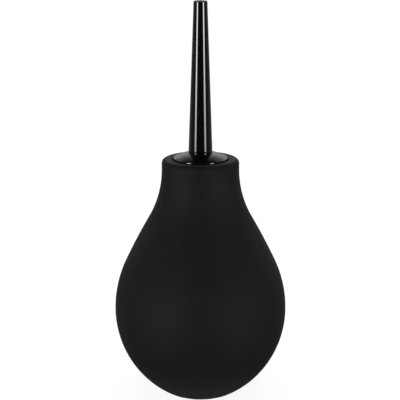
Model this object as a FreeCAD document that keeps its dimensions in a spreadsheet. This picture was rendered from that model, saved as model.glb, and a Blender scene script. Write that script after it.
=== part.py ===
import FreeCAD, Part
import math
import os
import Sketcher

# Dust blower: a pear-shaped rubber squeeze bulb that stands on its flat foot, with a domed
# collar plugged into its neck and a long tapered nozzle screwed into the collar.
# A one-way intake valve sits in the middle of the foot.
#
# Frame: origin on the axis at the foot plane, +Z up along the nozzle. Millimetres.

OUT = "parts"

# alias, value: every driving size of the blower
DIMENSIONS = (
    # bulb, outside: a chain of tangent arcs from the foot up to the neck
    ("foot_radius", 9.0),
    ("base_arc", 15.5),
    ("belly_radius", 37.5),
    ("belly_low_arc", 43.0),
    ("belly_high_arc", 50.0),
    ("belly_high_angle", 25.0),
    ("shoulder_arc", 260.0),
    ("neck_arc", 44.0),
    ("neck_radius", 16.65),
    ("rim_height", 106.0),
    ("rim_round", 1.8),
    ("rim_recess_radius", 12.3),
    ("rim_recess_depth", 0.6),
    # bulb, inside
    ("wall", 3.0),
    ("neck_bore", 10.4),
    ("neck_bore_end", 88.0),
    ("base_boss_radius", 8.6),
    ("base_boss_foot", 11.6),
    ("base_boss_top", 6.0),
    ("foot_recess_radius", 6.7),
    ("foot_recess_depth", 1.6),
    ("base_bore", 5.05),
    # collar: domed flange, barbed plug, threaded socket
    ("flange_gap", 0.1),
    ("flange_radius", 11.8),
    ("flange_edge", 1.15),
    ("flange_draft", 0.06),
    ("flange_round", 0.6),
    ("dome_top_radius", 5.2),
    ("dome_top", 108.7),
    ("plug_radius", 9.6),
    ("plug_end", 92.0),
    ("plug_lead", 1.5),
    ("barb_radius", 10.3),
    ("barb_length", 2.6),
    ("barb_pitch", 3.6),
    ("first_barb", 93.5),
    ("seal_pocket_radius", 4.75),
    ("seal_pocket_depth", 1.2),
    ("socket_radius", 3.5),
    ("thread_pitch", 2.0),
    ("thread_clearance", 0.15),
    # nozzle: tapered tube with a bore and a threaded shank
    ("seat_gap", 0.05),
    ("nozzle_root_radius", 5.15),
    ("tip_radius", 2.9),
    ("tip_top", 173.3),
    ("tip_round", 0.45),
    ("tip_bore", 1.5),
    ("tip_bore_length", 14.0),
    ("shank_bore", 2.0),
    ("thread_root", 3.3),
    ("thread_crest", 4.0),
    ("thread_root_half", 0.55),
    ("thread_crest_half", 0.2),
    ("thread_start", 100.4),
    ("thread_length", 5.6),
    ("shank_end", 99.2),
    ("shank_lead", 0.5),
    # seal ring round the shank
    ("seal_section", 0.55),
    ("seal_radius", 3.92),
    # intake valve
    ("valve_flange_bottom", 0.4),
    ("valve_flange_radius", 6.5),
    ("valve_flange_round", 0.35),
    ("barrel_radius", 5.0),
    ("bead_radius", 5.7),
    ("bead_top", 7.4),
    ("barrel_top", 7.8),
    ("screen_pocket_radius", 4.2),
    ("screen_pocket_top", 1.3),
    ("intake_radius", 2.2),
    ("valve_floor", 2.6),
    ("seat_lip_radius", 2.75),
    ("seat_height", 3.0),
    ("chamber_radius", 4.15),
    ("disc_radius", 3.8),
    ("disc_thick", 0.8),
    ("disc_gap", 0.02),
    ("disc_boss_radius", 1.6),
    ("disc_boss_height", 0.3),
    ("spring_radius", 2.35),
    ("spring_wire", 0.11),
    ("spring_pitch", 0.56),
    ("cage_bottom", 6.3),
    ("cage_top", 7.5),
    ("cage_inner_radius", 3.4),
    ("cage_bar_width", 1.1),
    ("cage_stop_radius", 1.1),
    ("cage_stop_bottom", 5.35),
    ("screen_thick", 0.3),
    ("screen_hole", 0.27),
    ("screen_ring_1", 0.8),
    ("screen_ring_2", 1.6),
    ("screen_ring_thick", 0.5),
    ("screen_ring_inner", 3.2),
)
SIZE = dict(DIMENSIONS)

doc = FreeCAD.newDocument("DustBlower")
sheet = doc.addObject("Spreadsheet::Sheet", "Dimensions")
for row, (alias, number) in enumerate(DIMENSIONS, start=1):
    cell = "A%d" % row
    sheet.set(cell, str(number))
    sheet.setAlias(cell, alias)
doc.recompute()


def number_of(sizes):
    """Value of a sum written with the sheet's names, such as "rim_height - rim_round"."""
    total = 0.0
    sign = 1.0
    for word in sizes.split():
        if word in "+-":
            sign = -1.0 if word == "-" else 1.0
        else:
            total += sign * (SIZE[word] if word in SIZE else float(word))
    return total


def formula_of(sizes):
    """The same sum as an expression on the sheet's cells."""
    words = [("Dimensions." + word if word in SIZE else word) for word in sizes.split()]
    return " ".join(words)


def make_body(name):
    body = doc.addObject("PartDesign::Body", name)
    body.Label = name
    body.Placement = FreeCAD.Placement()
    return body


def origin_plane(body, role):
    return next(item for item in body.Origin.OriginFeatures if item.Role == role)


def make_sketch(body, name, role="XZ_Plane", height=None):
    """A sketch on one of the body's own origin planes, raised by a sheet size if one is given."""
    sketch = body.newObject("Sketcher::SketchObject", name)
    sketch.AttachmentSupport = (origin_plane(body, role), [""])
    sketch.MapMode = "FlatFace"
    if height:
        sketch.setExpression("AttachmentOffset.Base.z", formula_of(height))
    return sketch


def size_constraint(sketch, kind, where, sizes):
    """A dimension of the sketch, bound to the sheet."""
    index = sketch.addConstraint(Sketcher.Constraint(kind, *where, number_of(sizes)))
    sketch.setExpression("Constraints[%d]" % index, formula_of(sizes))


def place_point(sketch, edge, end, point):
    """Fix a point of the sketch at (radius, height), or lock it to an axis where a size is 0."""
    for kind, sizes, axis in (("DistanceX", point[0], -2), ("DistanceY", point[1], -1)):
        if sizes == "0":
            sketch.addConstraint(Sketcher.Constraint("PointOnObject", edge, end, axis))
        else:
            size_constraint(sketch, kind, (-1, 1, edge, end), sizes)


def vector(point):
    return FreeCAD.Vector(number_of(point[0]), number_of(point[1]), 0)


def draw_polygon(sketch, points):
    """A closed outline of straight lines through points given as pairs of sheet sizes."""
    first = sketch.GeometryCount
    corners = [vector(point) for point in points]
    count = len(corners)
    for i in range(count):
        sketch.addGeometry(Part.LineSegment(corners[i], corners[(i + 1) % count]), False)
    for i in range(count):
        sketch.addConstraint(
            Sketcher.Constraint("Coincident", first + i, 2, first + (i + 1) % count, 1))
        place_point(sketch, first + i, 1, points[i])


def draw_circle(sketch, radius, centre=("0", "0")):
    edge = sketch.addGeometry(
        Part.Circle(vector(centre), FreeCAD.Vector(0, 0, 1), number_of(radius)), False)
    if centre == ("0", "0"):
        sketch.addConstraint(Sketcher.Constraint("Coincident", edge, 3, -1, 1))
    else:
        place_point(sketch, edge, 3, centre)
    size_constraint(sketch, "Radius", (edge,), radius)


def revolve(body, sketch, name, kind="PartDesign::Revolution"):
    """Turn a sketch of the XZ plane right round the body's Z axis."""
    feature = body.newObject(kind, name)
    feature.Profile = sketch
    feature.ReferenceAxis = (sketch, ["V_Axis"])
    feature.Angle = 360
    sketch.Visibility = False
    doc.recompute()
    return feature


def volume_must_fall(body, before, name):
    if body.Shape.Volume > before - 1e-4:
        raise RuntimeError(name + " cut nothing")


def find_edges(shape, radius, height, slack=0.02):
    """Names of the circular edges of one radius at one height."""
    names = []
    for index, edge in enumerate(shape.Edges, start=1):
        curve = edge.Curve
        if not isinstance(curve, Part.Circle):
            continue
        if abs(curve.Radius - radius) < slack and abs(curve.Center.z - height) < slack:
            names.append("Edge%d" % index)
    if not names:
        raise RuntimeError("no edge of radius %.2f at height %.2f" % (radius, height))
    return names


def round_edges(body, name, size, places):
    """Fillet the circular edges at the given (radius, height) sizes."""
    base = body.Tip
    names = []
    for radius, height in places:
        names += find_edges(base.Shape, number_of(radius), number_of(height))
    fillet = body.newObject("PartDesign::Fillet", name)
    fillet.Base = (base, names)
    fillet.Radius = number_of(size)
    fillet.setExpression("Radius", formula_of(size))
    doc.recompute()
    return fillet


# ---------------------------------------------------------------- bulb

def join_tangent(sketch, edge, end, other, other_end):
    sketch.addConstraint(Sketcher.Constraint("Tangent", edge, end, other, other_end))


def arc_between(centre, radius, start, end):
    """Arc about a centre from angle start to angle end, in radians, anticlockwise."""
    circle = Part.Circle(FreeCAD.Vector(centre[0], centre[1], 0), FreeCAD.Vector(0, 0, 1), radius)
    return Part.ArcOfCircle(circle, start, end)


def bulb_centres():
    """Centres and angles of the tangent arcs, to start the sketches close to their solution."""
    low_x = SIZE["belly_radius"] - SIZE["belly_low_arc"]
    across = SIZE["foot_radius"] - low_x
    reach = SIZE["belly_low_arc"] - SIZE["base_arc"]
    belly = SIZE["base_arc"] + math.sqrt(reach ** 2 - across ** 2)
    high_x = SIZE["belly_radius"] - SIZE["belly_high_arc"]
    angle = math.radians(SIZE["belly_high_angle"])
    step = SIZE["shoulder_arc"] - SIZE["belly_high_arc"]
    shoulder = (high_x - step * math.cos(angle), belly - step * math.sin(angle))
    neck_x = SIZE["neck_radius"] + SIZE["neck_arc"]
    span = SIZE["shoulder_arc"] + SIZE["neck_arc"]
    neck_z = shoulder[1] + math.sqrt(span ** 2 - (neck_x - shoulder[0]) ** 2)
    return {
        "base": (SIZE["foot_radius"], SIZE["base_arc"]),
        "low": (low_x, belly),
        "high": (high_x, belly),
        "shoulder": shoulder,
        "neck": (neck_x, neck_z),
        "base_angle": math.atan2(SIZE["base_arc"] - belly, across),
        "neck_angle": math.atan2(neck_z - shoulder[1], neck_x - shoulder[0]),
    }


def make_bulb():
    body = make_body("bulb")
    centre = bulb_centres()
    belly_angle = math.radians(SIZE["belly_high_angle"])

    # outside: foot line, four bulging arcs, the hollow neck arc, neck wall and rim
    sketch = make_sketch(body, "BulbOutline")
    axis_foot = FreeCAD.Vector(0, 0, 0)
    foot_edge = FreeCAD.Vector(SIZE["foot_radius"], 0, 0)
    neck_start = FreeCAD.Vector(SIZE["neck_radius"], centre["neck"][1], 0)
    rim_edge = FreeCAD.Vector(SIZE["neck_radius"], SIZE["rim_height"], 0)
    rim_axis = FreeCAD.Vector(0, SIZE["rim_height"], 0)
    sketch.addGeometry([
        Part.LineSegment(axis_foot, foot_edge),
        arc_between(centre["base"], SIZE["base_arc"], -math.pi / 2, centre["base_angle"]),
        arc_between(centre["low"], SIZE["belly_low_arc"], centre["base_angle"], 0),
        arc_between(centre["high"], SIZE["belly_high_arc"], 0, belly_angle),
        arc_between(centre["shoulder"], SIZE["shoulder_arc"], belly_angle, centre["neck_angle"]),
        arc_between(centre["neck"], SIZE["neck_arc"], math.pi, math.pi + centre["neck_angle"]),
        Part.LineSegment(neck_start, rim_edge),
        Part.LineSegment(rim_edge, rim_axis),
        Part.LineSegment(rim_axis, axis_foot),
    ], False)
    foot, base, low, high, shoulder, neck, neck_wall, rim, axis = range(9)
    sketch.addConstraint(Sketcher.Constraint("Coincident", foot, 1, -1, 1))
    sketch.addConstraint(Sketcher.Constraint("Horizontal", foot))
    join_tangent(sketch, foot, 2, base, 1)
    join_tangent(sketch, base, 2, low, 1)
    join_tangent(sketch, low, 2, high, 1)
    join_tangent(sketch, high, 2, shoulder, 1)
    join_tangent(sketch, shoulder, 2, neck, 2)
    join_tangent(sketch, neck, 1, neck_wall, 1)
    sketch.addConstraint(Sketcher.Constraint("Horizontal", low, 3, low, 2))
    sketch.addConstraint(Sketcher.Constraint("Vertical", neck_wall))
    sketch.addConstraint(Sketcher.Constraint("Coincident", neck_wall, 2, rim, 1))
    sketch.addConstraint(Sketcher.Constraint("Horizontal", rim))
    sketch.addConstraint(Sketcher.Constraint("Coincident", rim, 2, axis, 1))
    sketch.addConstraint(Sketcher.Constraint("Coincident", axis, 2, -1, 1))
    sketch.addConstraint(Sketcher.Constraint("Vertical", axis))
    size_constraint(sketch, "DistanceX", (-1, 1, foot, 2), "foot_radius")
    size_constraint(sketch, "Radius", (base,), "base_arc")
    size_constraint(sketch, "Radius", (low,), "belly_low_arc")
    size_constraint(sketch, "DistanceX", (-1, 1, low, 2), "belly_radius")
    size_constraint(sketch, "Radius", (high,), "belly_high_arc")
    size_constraint(sketch, "Radius", (shoulder,), "shoulder_arc")
    size_constraint(sketch, "Radius", (neck,), "neck_arc")
    size_constraint(sketch, "DistanceX", (-1, 1, neck_wall, 2), "neck_radius")
    size_constraint(sketch, "DistanceY", (-1, 1, rim, 2), "rim_height")
    turn = sketch.addConstraint(
        Sketcher.Constraint("DistanceY", high, 3, high, 2,
                            SIZE["belly_high_arc"] * math.sin(belly_angle)))
    sketch.setExpression("Constraints[%d]" % turn,
                         "Dimensions.belly_high_arc * sin(Dimensions.belly_high_angle * 1 deg)")
    revolve(body, sketch, "BulbSolid")
    full = body.Shape.Volume

    # inside: the same arcs set in by the wall, a boss round the valve, a straight neck bore
    wall = SIZE["wall"]
    low_inner = SIZE["belly_low_arc"] - wall
    high_inner = SIZE["belly_high_arc"] - wall
    base_inner = SIZE["base_arc"] - wall
    run = SIZE["base_boss_foot"] - centre["base"][0]
    start_angle = -math.acos(run / base_inner)
    boss_foot = FreeCAD.Vector(SIZE["base_boss_foot"],
                               centre["base"][1] + base_inner * math.sin(start_angle), 0)
    shoulder_start = FreeCAD.Vector(centre["high"][0] + high_inner * math.cos(belly_angle),
                                    centre["high"][1] + high_inner * math.sin(belly_angle), 0)
    corner = {
        "boss_axis": FreeCAD.Vector(0, SIZE["base_boss_top"], 0),
        "boss_edge": FreeCAD.Vector(SIZE["base_boss_radius"], SIZE["base_boss_top"], 0),
        "bore_end": FreeCAD.Vector(SIZE["neck_bore"], SIZE["neck_bore_end"], 0),
        "bore_top": FreeCAD.Vector(SIZE["neck_bore"], SIZE["rim_height"], 0),
        "axis_top": FreeCAD.Vector(0, SIZE["rim_height"], 0),
    }
    cavity = make_sketch(body, "BulbCavity")
    cavity.addGeometry([
        Part.LineSegment(corner["boss_axis"], corner["boss_edge"]),
        Part.LineSegment(corner["boss_edge"], boss_foot),
        arc_between(centre["base"], base_inner, start_angle, centre["base_angle"]),
        arc_between(centre["low"], low_inner, centre["base_angle"], 0),
        arc_between(centre["high"], high_inner, 0, belly_angle),
        Part.LineSegment(shoulder_start, corner["bore_end"]),
        Part.LineSegment(corner["bore_end"], corner["bore_top"]),
        Part.LineSegment(corner["bore_top"], corner["axis_top"]),
        Part.LineSegment(corner["axis_top"], corner["boss_axis"]),
    ], False)
    boss, slope, base, low, high, shoulder, bore, top, axis = range(9)
    cavity.addConstraint(Sketcher.Constraint("PointOnObject", boss, 1, -2))
    cavity.addConstraint(Sketcher.Constraint("Horizontal", boss))
    cavity.addConstraint(Sketcher.Constraint("Coincident", boss, 2, slope, 1))
    cavity.addConstraint(Sketcher.Constraint("Coincident", slope, 2, base, 1))
    join_tangent(cavity, base, 2, low, 1)
    join_tangent(cavity, low, 2, high, 1)
    cavity.addConstraint(Sketcher.Constraint("Horizontal", low, 3, low, 2))
    cavity.addConstraint(Sketcher.Constraint("Coincident", high, 2, shoulder, 1))
    cavity.addConstraint(Sketcher.Constraint("Coincident", shoulder, 2, bore, 1))
    cavity.addConstraint(Sketcher.Constraint("Vertical", bore))
    cavity.addConstraint(Sketcher.Constraint("Coincident", bore, 2, top, 1))
    cavity.addConstraint(Sketcher.Constraint("Horizontal", top))
    cavity.addConstraint(Sketcher.Constraint("Coincident", top, 2, axis, 1))
    cavity.addConstraint(Sketcher.Constraint("Coincident", axis, 2, boss, 1))
    cavity.addConstraint(Sketcher.Constraint("Vertical", axis))
    size_constraint(cavity, "DistanceY", (-1, 1, boss, 1), "base_boss_top")
    size_constraint(cavity, "DistanceX", (-1, 1, boss, 2), "base_boss_radius")
    size_constraint(cavity, "DistanceX", (-1, 1, base, 1), "base_boss_foot")
    size_constraint(cavity, "DistanceX", (-1, 1, base, 3), "foot_radius")
    size_constraint(cavity, "DistanceY", (-1, 1, base, 3), "base_arc")
    size_constraint(cavity, "Radius", (base,), "base_arc - wall")
    size_constraint(cavity, "Radius", (low,), "belly_low_arc - wall")
    size_constraint(cavity, "DistanceX", (-1, 1, low, 2), "belly_radius - wall")
    size_constraint(cavity, "Radius", (high,), "belly_high_arc - wall")
    size_constraint(cavity, "DistanceX", (-1, 1, bore, 1), "neck_bore")
    size_constraint(cavity, "DistanceY", (-1, 1, bore, 1), "neck_bore_end")
    size_constraint(cavity, "DistanceY", (-1, 1, bore, 2), "rim_height")
    turn = cavity.addConstraint(
        Sketcher.Constraint("DistanceY", high, 3, high, 2, high_inner * math.sin(belly_angle)))
    cavity.setExpression(
        "Constraints[%d]" % turn,
        "(Dimensions.belly_high_arc - Dimensions.wall) * sin(Dimensions.belly_high_angle * 1 deg)")
    revolve(body, cavity, "CavityGroove", "PartDesign::Groove")
    volume_must_fall(body, full, "CavityGroove")

    # stepped hole in the foot for the intake valve
    hollow = body.Shape.Volume
    seat = make_sketch(body, "ValveHole")
    draw_polygon(seat, [
        ("0", "0"),
        ("foot_recess_radius", "0"),
        ("foot_recess_radius", "foot_recess_depth"),
        ("base_bore", "foot_recess_depth"),
        ("base_bore", "base_boss_top"),
        ("0", "base_boss_top"),
    ])
    revolve(body, seat, "ValveHoleGroove", "PartDesign::Groove")
    volume_must_fall(body, hollow, "ValveHoleGroove")

    # shallow recess in the rim that the collar's flange sinks into
    holed = body.Shape.Volume
    recess = make_sketch(body, "RimRecess")
    draw_polygon(recess, [
        ("0", "rim_height - rim_recess_depth"),
        ("rim_recess_radius", "rim_height - rim_recess_depth"),
        ("rim_recess_radius", "rim_height"),
        ("0", "rim_height"),
    ])
    revolve(body, recess, "RimRecessGroove", "PartDesign::Groove")
    volume_must_fall(body, holed, "RimRecessGroove")

    round_edges(body, "RimRound", "rim_round", [("neck_radius", "rim_height")])
    return body


# ---------------------------------------------------------------- collar

def make_thread(body, name, kind, corners, length):
    """A right-handed thread: a trapezoid wound up the Z axis, added to or cut from the body."""
    sketch = make_sketch(body, name + "Profile")
    draw_polygon(sketch, corners)
    helix = body.newObject(kind, name)
    helix.Profile = sketch
    helix.ReferenceAxis = (sketch, ["V_Axis"])
    helix.Mode = "pitch-height-angle"
    helix.Pitch = SIZE["thread_pitch"]
    helix.setExpression("Pitch", "Dimensions.thread_pitch")
    helix.Height = number_of(length)
    helix.setExpression("Height", formula_of(length))
    helix.LeftHanded = False
    helix.Reversed = False
    sketch.Visibility = False
    doc.recompute()
    return helix


def make_collar():
    body = make_body("collar")
    underside = "rim_height - rim_recess_depth + flange_gap"

    # domed flange over a plain plug, solid to the axis
    outline = make_sketch(body, "CollarOutline")
    edge_top = number_of(underside) + SIZE["flange_edge"]
    edge_radius = number_of("flange_radius - flange_draft")
    half_chord = edge_radius ** 2 - SIZE["dome_top_radius"] ** 2
    rise = SIZE["dome_top"] - edge_top
    dome_centre = edge_top - (half_chord - rise ** 2) / (2 * rise)
    dome_arc = math.hypot(edge_radius, edge_top - dome_centre)
    start = math.atan2(edge_top - dome_centre, edge_radius)
    end = math.atan2(SIZE["dome_top"] - dome_centre, SIZE["dome_top_radius"])
    lead = number_of("plug_radius - plug_lead")
    points = [
        (0, SIZE["plug_end"]),
        (lead, SIZE["plug_end"]),
        (SIZE["plug_radius"], number_of("plug_end + plug_lead")),
        (SIZE["plug_radius"], number_of(underside)),
        (SIZE["flange_radius"], number_of(underside)),
        (edge_radius, edge_top),
    ]
    corners = [FreeCAD.Vector(x, z, 0) for x, z in points]
    dome_edge = FreeCAD.Vector(SIZE["dome_top_radius"], SIZE["dome_top"], 0)
    dome_axis = FreeCAD.Vector(0, SIZE["dome_top"], 0)
    straight = [Part.LineSegment(a, b) for a, b in zip(corners, corners[1:])]
    outline.addGeometry(straight, False)
    dome = outline.addGeometry(arc_between((0, dome_centre), dome_arc, start, end), False)
    land = outline.addGeometry(Part.LineSegment(dome_edge, dome_axis), False)
    axis = outline.addGeometry(Part.LineSegment(dome_axis, corners[0]), False)
    sizes = [
        ("0", "plug_end"),
        ("plug_radius - plug_lead", "plug_end"),
        ("plug_radius", "plug_end + plug_lead"),
        ("plug_radius", underside),
        ("flange_radius", underside),
    ]
    for edge, size in enumerate(sizes):
        place_point(outline, edge, 1, size)
    for edge in range(len(straight) - 1):
        outline.addConstraint(Sketcher.Constraint("Coincident", edge, 2, edge + 1, 1))
    last = len(straight) - 1
    place_point(outline, last, 2, ("flange_radius - flange_draft", underside + " + flange_edge"))
    outline.addConstraint(Sketcher.Constraint("Coincident", last, 2, dome, 1))
    outline.addConstraint(Sketcher.Constraint("PointOnObject", dome, 3, -2))
    outline.addConstraint(Sketcher.Constraint("Coincident", dome, 2, land, 1))
    place_point(outline, land, 1, ("dome_top_radius", "dome_top"))
    outline.addConstraint(Sketcher.Constraint("PointOnObject", land, 2, -2))
    outline.addConstraint(Sketcher.Constraint("Horizontal", land))
    outline.addConstraint(Sketcher.Constraint("Coincident", land, 2, axis, 1))
    outline.addConstraint(Sketcher.Constraint("Coincident", axis, 2, 0, 1))
    revolve(body, outline, "CollarSolid")

    # three saw-toothed barbs that hold the plug in the rubber neck
    for index in range(3):
        low = "first_barb" + " + barb_pitch" * index
        barb = make_sketch(body, "Barb%d" % (index + 1))
        draw_polygon(barb, [
            ("plug_radius - 0.5", low),
            ("plug_radius", low),
            ("barb_radius", low + " + barb_length - 0.4"),
            ("barb_radius", low + " + barb_length"),
            ("plug_radius - 0.5", low + " + barb_length"),
        ])
        revolve(body, barb, "BarbRing%d" % (index + 1))

    # through socket with the pocket of the seal ring at its mouth
    solid = body.Shape.Volume
    socket = make_sketch(body, "SocketOutline")
    draw_polygon(socket, [
        ("0", "plug_end"),
        ("socket_radius", "plug_end"),
        ("socket_radius", "dome_top - seal_pocket_depth"),
        ("seal_pocket_radius", "dome_top - seal_pocket_depth"),
        ("seal_pocket_radius", "dome_top"),
        ("0", "dome_top"),
    ])
    revolve(body, socket, "SocketGroove", "PartDesign::Groove")
    volume_must_fall(body, solid, "SocketGroove")

    # inner thread, wider than the shank's thread by the clearance on every side
    plain = body.Shape.Volume
    low = "thread_start - thread_pitch - thread_clearance"
    high = "thread_start - thread_pitch + thread_clearance"
    make_thread(body, "SocketThread", "PartDesign::SubtractiveHelix", [
        ("socket_radius - 0.1", low + " - thread_root_half"),
        ("thread_crest + thread_clearance", low + " - thread_crest_half"),
        ("thread_crest + thread_clearance", high + " + thread_crest_half"),
        ("socket_radius - 0.1", high + " + thread_root_half"),
    ], "dome_top - seal_pocket_depth - thread_start + thread_pitch + thread_pitch")
    volume_must_fall(body, plain, "SocketThread")
    round_edges(body, "FlangeRound", "flange_round",
                [("flange_radius - flange_draft", underside + " + flange_edge")])
    return body


# ---------------------------------------------------------------- nozzle

def make_nozzle():
    body = make_body("nozzle")
    shoulder = "dome_top + seat_gap"

    # tapered tube above the shoulder, plain shank below it
    outline = make_sketch(body, "NozzleOutline")
    draw_polygon(outline, [
        ("shank_bore", "shank_end"),
        ("thread_root - shank_lead", "shank_end"),
        ("thread_root", "shank_end + shank_lead"),
        ("thread_root", shoulder),
        ("nozzle_root_radius", shoulder),
        ("tip_radius", "tip_top"),
        ("tip_bore", "tip_top"),
        ("tip_bore", "tip_top - tip_bore_length"),
    ])
    revolve(body, outline, "NozzleTube")
    round_edges(body, "TipRound", "tip_round", [("tip_radius", "tip_top")])

    # thread on the shank
    plain = body.Shape.Volume
    make_thread(body, "ShankThread", "PartDesign::AdditiveHelix", [
        ("thread_root - 0.15", "thread_start - thread_root_half"),
        ("thread_root", "thread_start - thread_root_half"),
        ("thread_crest", "thread_start - thread_crest_half"),
        ("thread_crest", "thread_start + thread_crest_half"),
        ("thread_root", "thread_start + thread_root_half"),
        ("thread_root - 0.15", "thread_start + thread_root_half"),
    ], "thread_length")
    if body.Shape.Volume < plain + 1:
        raise RuntimeError("ShankThread added nothing")
    return body


def make_seal_ring():
    ring = doc.addObject("Part::Torus", "nozzle_o_ring")
    ring.Label = "nozzle_o_ring"
    ring.Radius1 = SIZE["seal_radius"]
    ring.Radius2 = SIZE["seal_section"]
    ring.setExpression("Radius1", "Dimensions.seal_radius")
    ring.setExpression("Radius2", "Dimensions.seal_section")
    height = "dome_top - seal_pocket_depth + seat_gap + seal_section"
    ring.Placement = FreeCAD.Placement(FreeCAD.Vector(0, 0, number_of(height)),
                                       FreeCAD.Rotation())
    ring.setExpression("Placement.Base.z", formula_of(height))
    doc.recompute()
    return ring


# ---------------------------------------------------------------- intake valve

def make_valve_body():
    body = make_body("valve_body")
    outline = make_sketch(body, "ValveOutline")
    draw_polygon(outline, [
        ("screen_pocket_radius", "valve_flange_bottom"),
        ("valve_flange_radius", "valve_flange_bottom"),
        ("valve_flange_radius", "foot_recess_depth"),
        ("barrel_radius", "foot_recess_depth"),
        ("barrel_radius", "base_boss_top"),
        ("bead_radius", "base_boss_top"),
        ("bead_radius", "base_boss_top + 0.3"),
        ("barrel_radius", "bead_top"),
        ("barrel_radius", "barrel_top"),
        ("chamber_radius", "barrel_top"),
        ("chamber_radius", "valve_floor"),
        ("seat_lip_radius", "valve_floor"),
        ("seat_lip_radius - 0.2", "seat_height"),
        ("intake_radius", "seat_height"),
        ("intake_radius", "screen_pocket_top"),
        ("screen_pocket_radius", "screen_pocket_top"),
    ])
    revolve(body, outline, "ValveHousing")
    round_edges(body, "ValveFlangeRound", "valve_flange_round",
                [("valve_flange_radius", "valve_flange_bottom")])
    return body


def make_valve_disc():
    body = make_body("valve_disc")
    low = "seat_height + disc_gap"
    outline = make_sketch(body, "DiscOutline")
    draw_polygon(outline, [
        ("0", low),
        ("disc_radius", low),
        ("disc_radius", low + " + disc_thick"),
        ("disc_boss_radius", low + " + disc_thick"),
        ("disc_boss_radius", low + " + disc_thick + disc_boss_height"),
        ("0", low + " + disc_thick + disc_boss_height"),
    ])
    revolve(body, outline, "DiscSolid")
    return body


def make_valve_spring():
    """A light coil of round wire between the disc and the keeper."""
    body = make_body("valve_spring")
    low = "seat_height + disc_gap + disc_thick + disc_gap + spring_wire"
    sketch = make_sketch(body, "WireSection")
    draw_circle(sketch, "spring_wire", ("spring_radius", low))
    coil = body.newObject("PartDesign::AdditiveHelix", "SpringCoil")
    coil.Profile = sketch
    coil.ReferenceAxis = (sketch, ["V_Axis"])
    coil.Mode = "pitch-height-angle"
    coil.Pitch = SIZE["spring_pitch"]
    coil.setExpression("Pitch", "Dimensions.spring_pitch")
    height = "cage_bottom - disc_gap - spring_wire - " + low.replace("+", "-")
    coil.Height = number_of(height)
    coil.setExpression("Height", formula_of(height))
    doc.recompute()
    return body


def make_valve_cage():
    """Keeper ring with a cross of two bars and a stop pin in the middle."""
    body = make_body("valve_cage")
    ring = make_sketch(body, "KeeperRing")
    draw_polygon(ring, [
        ("cage_inner_radius", "cage_bottom"),
        ("chamber_radius", "cage_bottom"),
        ("chamber_radius", "cage_top"),
        ("cage_inner_radius", "cage_top"),
    ])
    revolve(body, ring, "KeeperSolid")

    half = SIZE["cage_bar_width"] / 2
    reach = "cage_inner_radius + 0.3"
    full_reach = "%s + %s" % (reach, reach)
    for index, x, y, x_size, y_size in (
            (1, number_of(reach), half, full_reach, "cage_bar_width"),
            (2, half, number_of(reach), "cage_bar_width", full_reach)):
        bar = make_sketch(body, "KeeperBar%d" % index, "XY_Plane", "cage_bottom")
        corners = [FreeCAD.Vector(side * x, end * y, 0)
                   for side, end in ((-1, -1), (1, -1), (1, 1), (-1, 1))]
        for i in range(4):
            bar.addGeometry(Part.LineSegment(corners[i], corners[(i + 1) % 4]), False)
        for i in range(4):
            bar.addConstraint(Sketcher.Constraint("Coincident", i, 2, (i + 1) % 4, 1))
        for edge, kind in enumerate(("Horizontal", "Vertical", "Horizontal", "Vertical")):
            bar.addConstraint(Sketcher.Constraint(kind, edge))
        bar.addConstraint(Sketcher.Constraint("Symmetric", 0, 1, 1, 2, -1, 1))
        size_constraint(bar, "DistanceX", (0, 1, 0, 2), x_size)
        size_constraint(bar, "DistanceY", (1, 1, 1, 2), y_size)
        pad = body.newObject("PartDesign::Pad", "KeeperBarPad%d" % index)
        pad.Profile = bar
        pad.Length = number_of("cage_top - cage_bottom")
        pad.setExpression("Length", formula_of("cage_top - cage_bottom"))
        doc.recompute()

    stop = make_sketch(body, "StopPin")
    draw_polygon(stop, [
        ("0", "cage_stop_bottom"),
        ("cage_stop_radius", "cage_stop_bottom"),
        ("cage_stop_radius", "cage_top"),
        ("0", "cage_top"),
    ])
    revolve(body, stop, "StopPinSolid")
    return body


def make_intake_screen():
    """Thin disc with one middle hole and two rings of holes round it."""
    body = make_body("intake_screen")
    low = "screen_pocket_top - screen_thick"
    plate = make_sketch(body, "ScreenPlate", "XY_Plane", low)
    draw_circle(plate, "screen_pocket_radius")
    pad = body.newObject("PartDesign::Pad", "ScreenPad")
    pad.Profile = plate
    pad.Length = SIZE["screen_thick"]
    pad.setExpression("Length", "Dimensions.screen_thick")
    doc.recompute()

    for name, radius, count in (("Middle", None, 1), ("Inner", "screen_ring_1", 6),
                                ("Outer", "screen_ring_2", 12)):
        before = body.Shape.Volume
        hole = make_sketch(body, name + "Hole", "XY_Plane", low)
        draw_circle(hole, "screen_hole", (radius, "0") if radius else ("0", "0"))
        pocket = body.newObject("PartDesign::Pocket", name + "HolePocket")
        pocket.Profile = hole
        pocket.Type = "Length"
        pocket.Length = SIZE["screen_thick"]
        pocket.setExpression("Length", "Dimensions.screen_thick")
        pocket.Reversed = True
        doc.recompute()
        volume_must_fall(body, before, pocket.Name)
        if count == 1:
            continue
        one_hole = before - body.Shape.Volume
        pattern = body.newObject("PartDesign::PolarPattern", name + "Holes")
        pattern.Originals = [pocket]
        pattern.Axis = (hole, ["N_Axis"])
        pattern.Angle = 360
        pattern.Occurrences = count
        body.Tip = pattern
        doc.recompute()
        if abs(before - body.Shape.Volume - count * one_hole) > 1e-3:
            raise RuntimeError("%s is missing holes" % pattern.Name)
    return body


def make_screen_ring():
    body = make_body("screen_ring")
    top = "screen_pocket_top - screen_thick"
    outline = make_sketch(body, "RingOutline")
    draw_polygon(outline, [
        ("screen_ring_inner", top + " - screen_ring_thick"),
        ("screen_pocket_radius", top + " - screen_ring_thick"),
        ("screen_pocket_radius", top),
        ("screen_ring_inner", top),
    ])
    revolve(body, outline, "RingSolid")
    return body


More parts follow.
